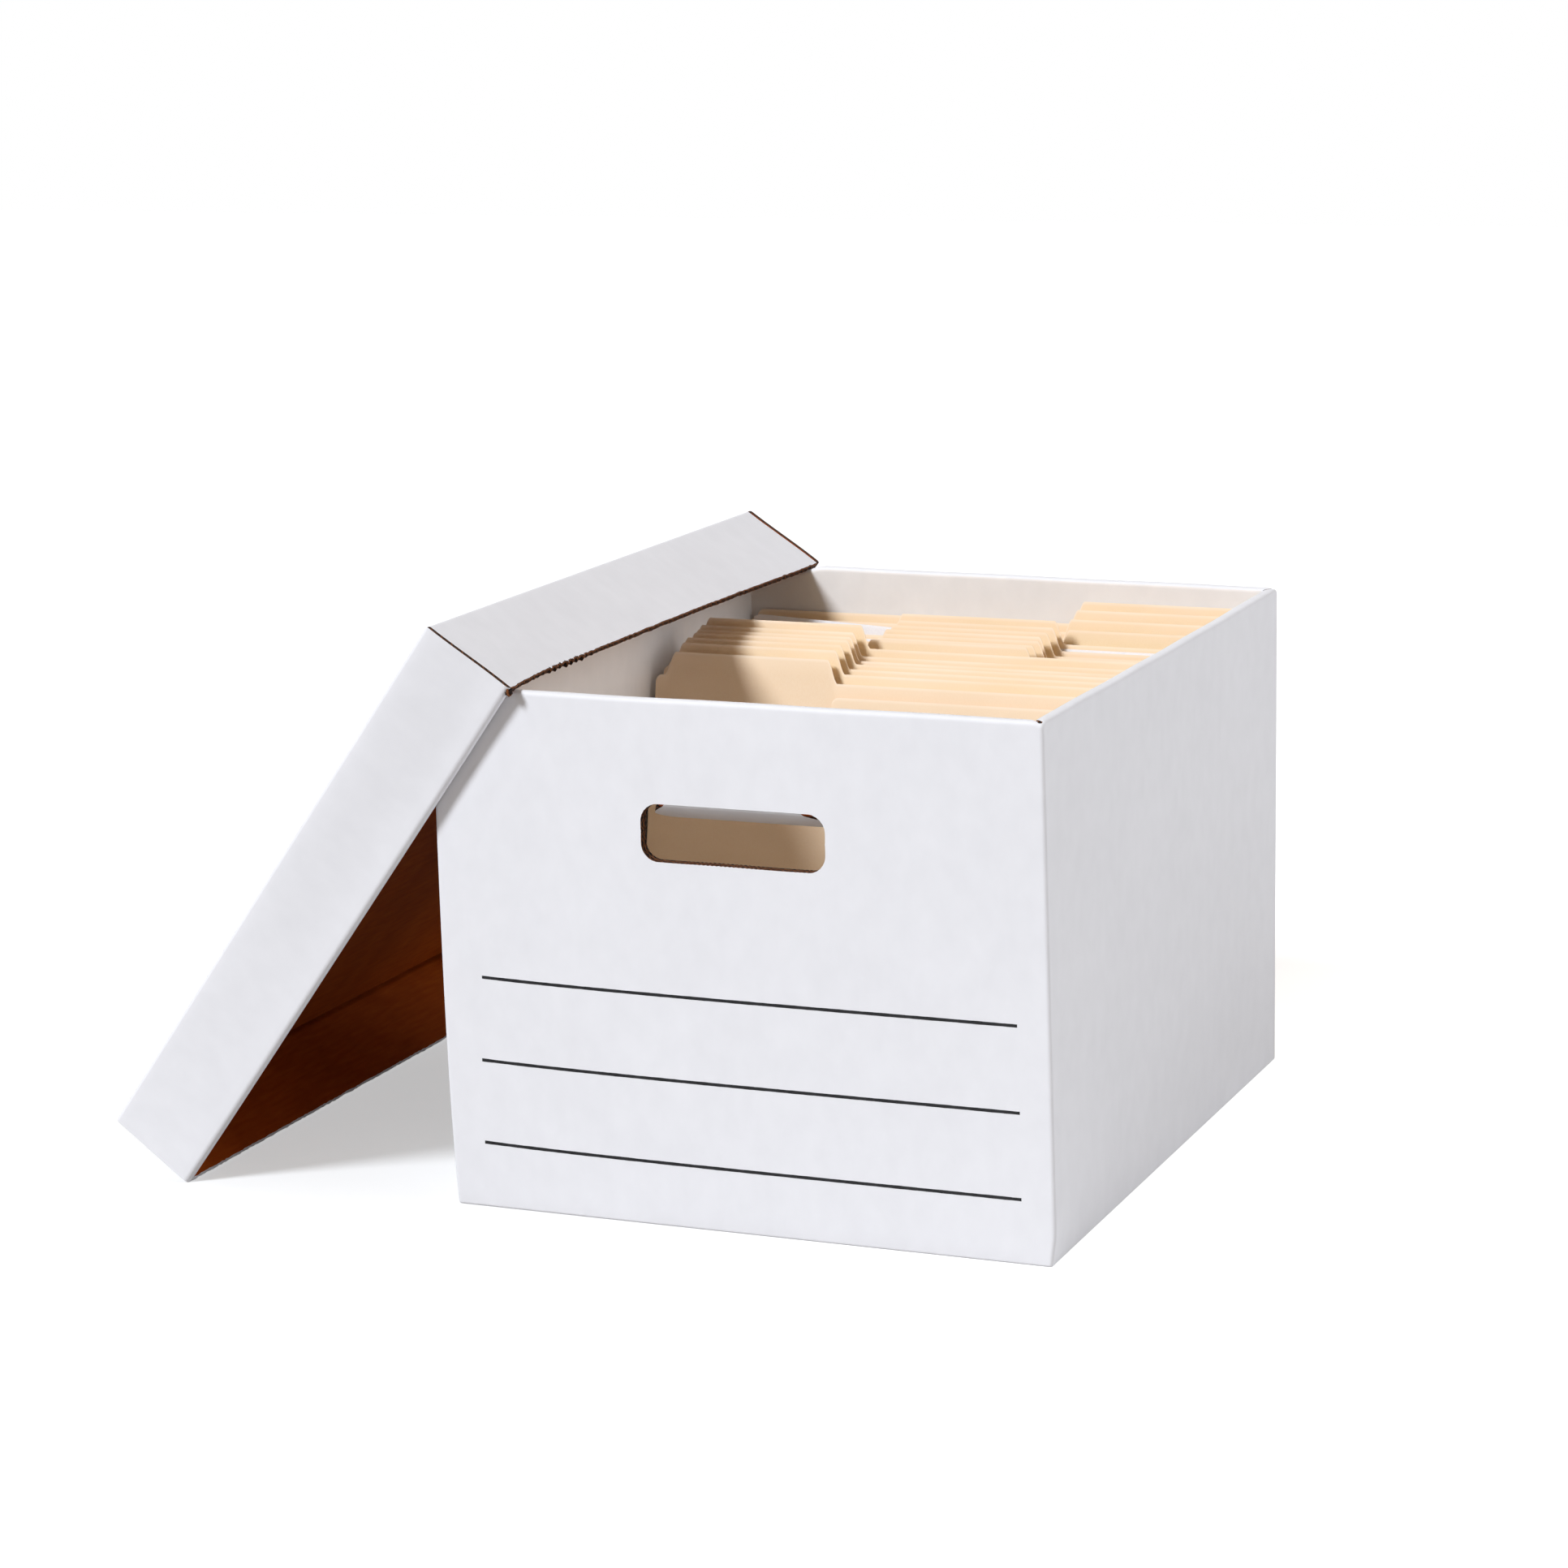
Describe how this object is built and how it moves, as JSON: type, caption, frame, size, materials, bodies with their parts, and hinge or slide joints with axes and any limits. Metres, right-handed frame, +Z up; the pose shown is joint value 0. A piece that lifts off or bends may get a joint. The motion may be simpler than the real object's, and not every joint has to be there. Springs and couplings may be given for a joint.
{
  "type": "archival box",
  "caption": "Corrugated storage box with end hand holes, a loose tray lid leaning on its left side, and a row of tabbed manila folders inside.",
  "frame": {"origin": "centre of the box's underside, where it stands on the floor", "axes": "+Z up; the end with the open hand hole and ruled lines faces -Y; +X is the right-hand side as seen from the front, and the lid leans on the left (-X) side"},
  "size_m": [0.5092, 0.411, 0.2994],
  "materials": {
    "white_board": "matt white-faced corrugated board",
    "inner_board": "matt off-white inner face",
    "kraft_board": "matt brown kraft face",
    "manila": "smooth matt manila card",
    "paper": "plain white sheets"
  },
  "bodies": {
    "box": {"front_wall": "white_board", "front_wall_liner": "inner_board", "back_wall": "white_board", "back_wall_liner": "inner_board", "left_wall": "white_board", "left_wall_liner": "inner_board", "right_wall": "white_board", "right_wall_liner": "inner_board", "bottom_panel": "white_board", "floor_flap_left": "inner_board", "floor_flap_right": "inner_board"},
    "lid": {"lid_top_panel": "white_board", "lid_upper_skirt": "white_board", "lid_lower_skirt": "white_board", "lid_front_skirt": "white_board", "lid_back_skirt": "white_board", "lid_front_skirt_liner": "inner_board", "lid_back_skirt_liner": "inner_board", "lid_front_upper_corner_tab": "kraft_board", "lid_front_lower_corner_tab": "kraft_board", "lid_back_upper_corner_tab": "kraft_board", "lid_back_lower_corner_tab": "kraft_board"},
    "front_tab": {"front_handle_tab": "white_board"},
    "back_tab": {"back_handle_tab": "white_board"},
    "file_01": {"folder_01": "manila"},
    "file_02": {"folder_02": "manila", "sheets_02": "paper"},
    "file_03": {"folder_03": "manila"},
    "file_04": {"folder_04": "manila", "sheets_04": "paper"},
    "file_05": {"folder_05": "manila"},
    "file_06": {"folder_06": "manila"},
    "file_07": {"folder_07": "manila", "sheets_07": "paper"},
    "file_08": {"folder_08": "manila"},
    "file_09": {"folder_09": "manila", "sheets_09": "paper"},
    "file_10": {"folder_10": "manila"},
    "file_11": {"folder_11": "manila"},
    "file_12": {"folder_12": "manila", "sheets_12": "paper"},
    "file_13": {"folder_13": "manila"},
    "file_14": {"folder_14": "manila", "sheets_14": "paper"},
    "file_15": {"folder_15": "manila", "sheets_15": "paper"},
    "file_16": {"folder_16": "manila", "sheets_16": "paper"},
    "file_17": {"folder_17": "manila"},
    "file_18": {"folder_18": "manila"}
  },
  "joints": [
    {"name": "lid_lift", "type": "slide", "parent": "box", "child": "lid", "axis": [0, 0, 1], "range_m": [0, 0.3]},
    {"name": "front_tab_fold", "type": "hinge", "parent": "box", "child": "front_tab", "pos_m": [-0.003, -0.196, 0.215], "axis": [1, 0, 0], "range_deg": [-64, 8]},
    {"name": "back_tab_fold", "type": "hinge", "parent": "box", "child": "back_tab", "pos_m": [0.003, 0.196, 0.215], "axis": [-1, 0, 0], "range_deg": [0, 15]},
    {"name": "folder_01_tilt", "type": "hinge", "parent": "box", "child": "file_01", "pos_m": [0, 0.01199, 0.0085], "axis": [1, 0, 0], "range_deg": [0, 45]},
    {"name": "folder_02_tilt", "type": "hinge", "parent": "box", "child": "file_02", "pos_m": [0.0012, 0.01919, 0.0085], "axis": [1, 0, 0], "range_deg": [0, 42.95]},
    {"name": "folder_03_tilt", "type": "hinge", "parent": "box", "child": "file_03", "pos_m": [-0.0006, 0.02617, 0.0085], "axis": [1, 0, 0], "range_deg": [0, 40.89]},
    {"name": "folder_04_tilt", "type": "hinge", "parent": "box", "child": "file_04", "pos_m": [0.0008, 0.03319, 0.0085], "axis": [1, 0, 0], "range_deg": [0, 38.83]},
    {"name": "folder_05_tilt", "type": "hinge", "parent": "box", "child": "file_05", "pos_m": [0, 0.04119, 0.0085], "axis": [1, 0, 0], "range_deg": [0, 36.76]},
    {"name": "folder_06_tilt", "type": "hinge", "parent": "box", "child": "file_06", "pos_m": [-0.0008, 0.04909, 0.0085], "axis": [1, 0, 0], "range_deg": [0, 34.7]},
    {"name": "folder_07_tilt", "type": "hinge", "parent": "box", "child": "file_07", "pos_m": [0.001, 0.05719, 0.0085], "axis": [1, 0, 0], "range_deg": [0, 32.63]},
    {"name": "folder_08_tilt", "type": "hinge", "parent": "box", "child": "file_08", "pos_m": [-0.0004, 0.07058, 0.0085], "axis": [1, 0, 0], "range_deg": [0, 30.57]},
    {"name": "folder_09_tilt", "type": "hinge", "parent": "box", "child": "file_09", "pos_m": [0.0006, 0.07989, 0.0085], "axis": [1, 0, 0], "range_deg": [0, 28.5]},
    {"name": "folder_10_tilt", "type": "hinge", "parent": "box", "child": "file_10", "pos_m": [0.0013, 0.08903, 0.0085], "axis": [1, 0, 0], "range_deg": [0, 26.44]},
    {"name": "folder_11_tilt", "type": "hinge", "parent": "box", "child": "file_11", "pos_m": [-0.0007, 0.09818, 0.0085], "axis": [1, 0, 0], "range_deg": [0, 24.37]},
    {"name": "folder_12_tilt", "type": "hinge", "parent": "box", "child": "file_12", "pos_m": [0.0004, 0.10754, 0.0085], "axis": [1, 0, 0], "range_deg": [0, 22.31]},
    {"name": "folder_13_tilt", "type": "hinge", "parent": "box", "child": "file_13", "pos_m": [0.001, 0.11667, 0.0085], "axis": [1, 0, 0], "range_deg": [0, 20.24]},
    {"name": "folder_14_tilt", "type": "hinge", "parent": "box", "child": "file_14", "pos_m": [0, 0.12552, 0.0085], "axis": [1, 0, 0], "range_deg": [0, 18.18]},
    {"name": "folder_15_tilt", "type": "hinge", "parent": "box", "child": "file_15", "pos_m": [0.0005, 0.14086, 0.0085], "axis": [1, 0, 0], "range_deg": [0, 16.11]},
    {"name": "folder_16_tilt", "type": "hinge", "parent": "box", "child": "file_16", "pos_m": [-0.0006, 0.1493, 0.0085], "axis": [1, 0, 0], "range_deg": [0, 14.05]},
    {"name": "folder_17_tilt", "type": "hinge", "parent": "box", "child": "file_17", "pos_m": [0.0003, 0.15782, 0.0085], "axis": [1, 0, 0], "range_deg": [0, 11.99]},
    {"name": "folder_18_tilt", "type": "hinge", "parent": "box", "child": "file_18", "pos_m": [0.0014, 0.16641, 0.0085], "axis": [1, 0, 0], "range_deg": [0, 9.92]}
  ],
  "couplings": [
    {"joint": "folder_02_tilt", "follows": "folder_01_tilt", "ratio": 0.9541},
    {"joint": "folder_03_tilt", "follows": "folder_01_tilt", "ratio": 0.9082},
    {"joint": "folder_04_tilt", "follows": "folder_01_tilt", "ratio": 0.8624},
    {"joint": "folder_05_tilt", "follows": "folder_01_tilt", "ratio": 0.8165},
    {"joint": "folder_06_tilt", "follows": "folder_01_tilt", "ratio": 0.7706},
    {"joint": "folder_07_tilt", "follows": "folder_01_tilt", "ratio": 0.7247},
    {"joint": "folder_08_tilt", "follows": "folder_01_tilt", "ratio": 0.6788},
    {"joint": "folder_09_tilt", "follows": "folder_01_tilt", "ratio": 0.6329},
    {"joint": "folder_10_tilt", "follows": "folder_01_tilt", "ratio": 0.5871},
    {"joint": "folder_11_tilt", "follows": "folder_01_tilt", "ratio": 0.5412},
    {"joint": "folder_12_tilt", "follows": "folder_01_tilt", "ratio": 0.4953},
    {"joint": "folder_13_tilt", "follows": "folder_01_tilt", "ratio": 0.4494},
    {"joint": "folder_14_tilt", "follows": "folder_01_tilt", "ratio": 0.4035},
    {"joint": "folder_15_tilt", "follows": "folder_01_tilt", "ratio": 0.3576},
    {"joint": "folder_16_tilt", "follows": "folder_01_tilt", "ratio": 0.3118},
    {"joint": "folder_17_tilt", "follows": "folder_01_tilt", "ratio": 0.2659},
    {"joint": "folder_18_tilt", "follows": "folder_01_tilt", "ratio": 0.22}
  ]
}
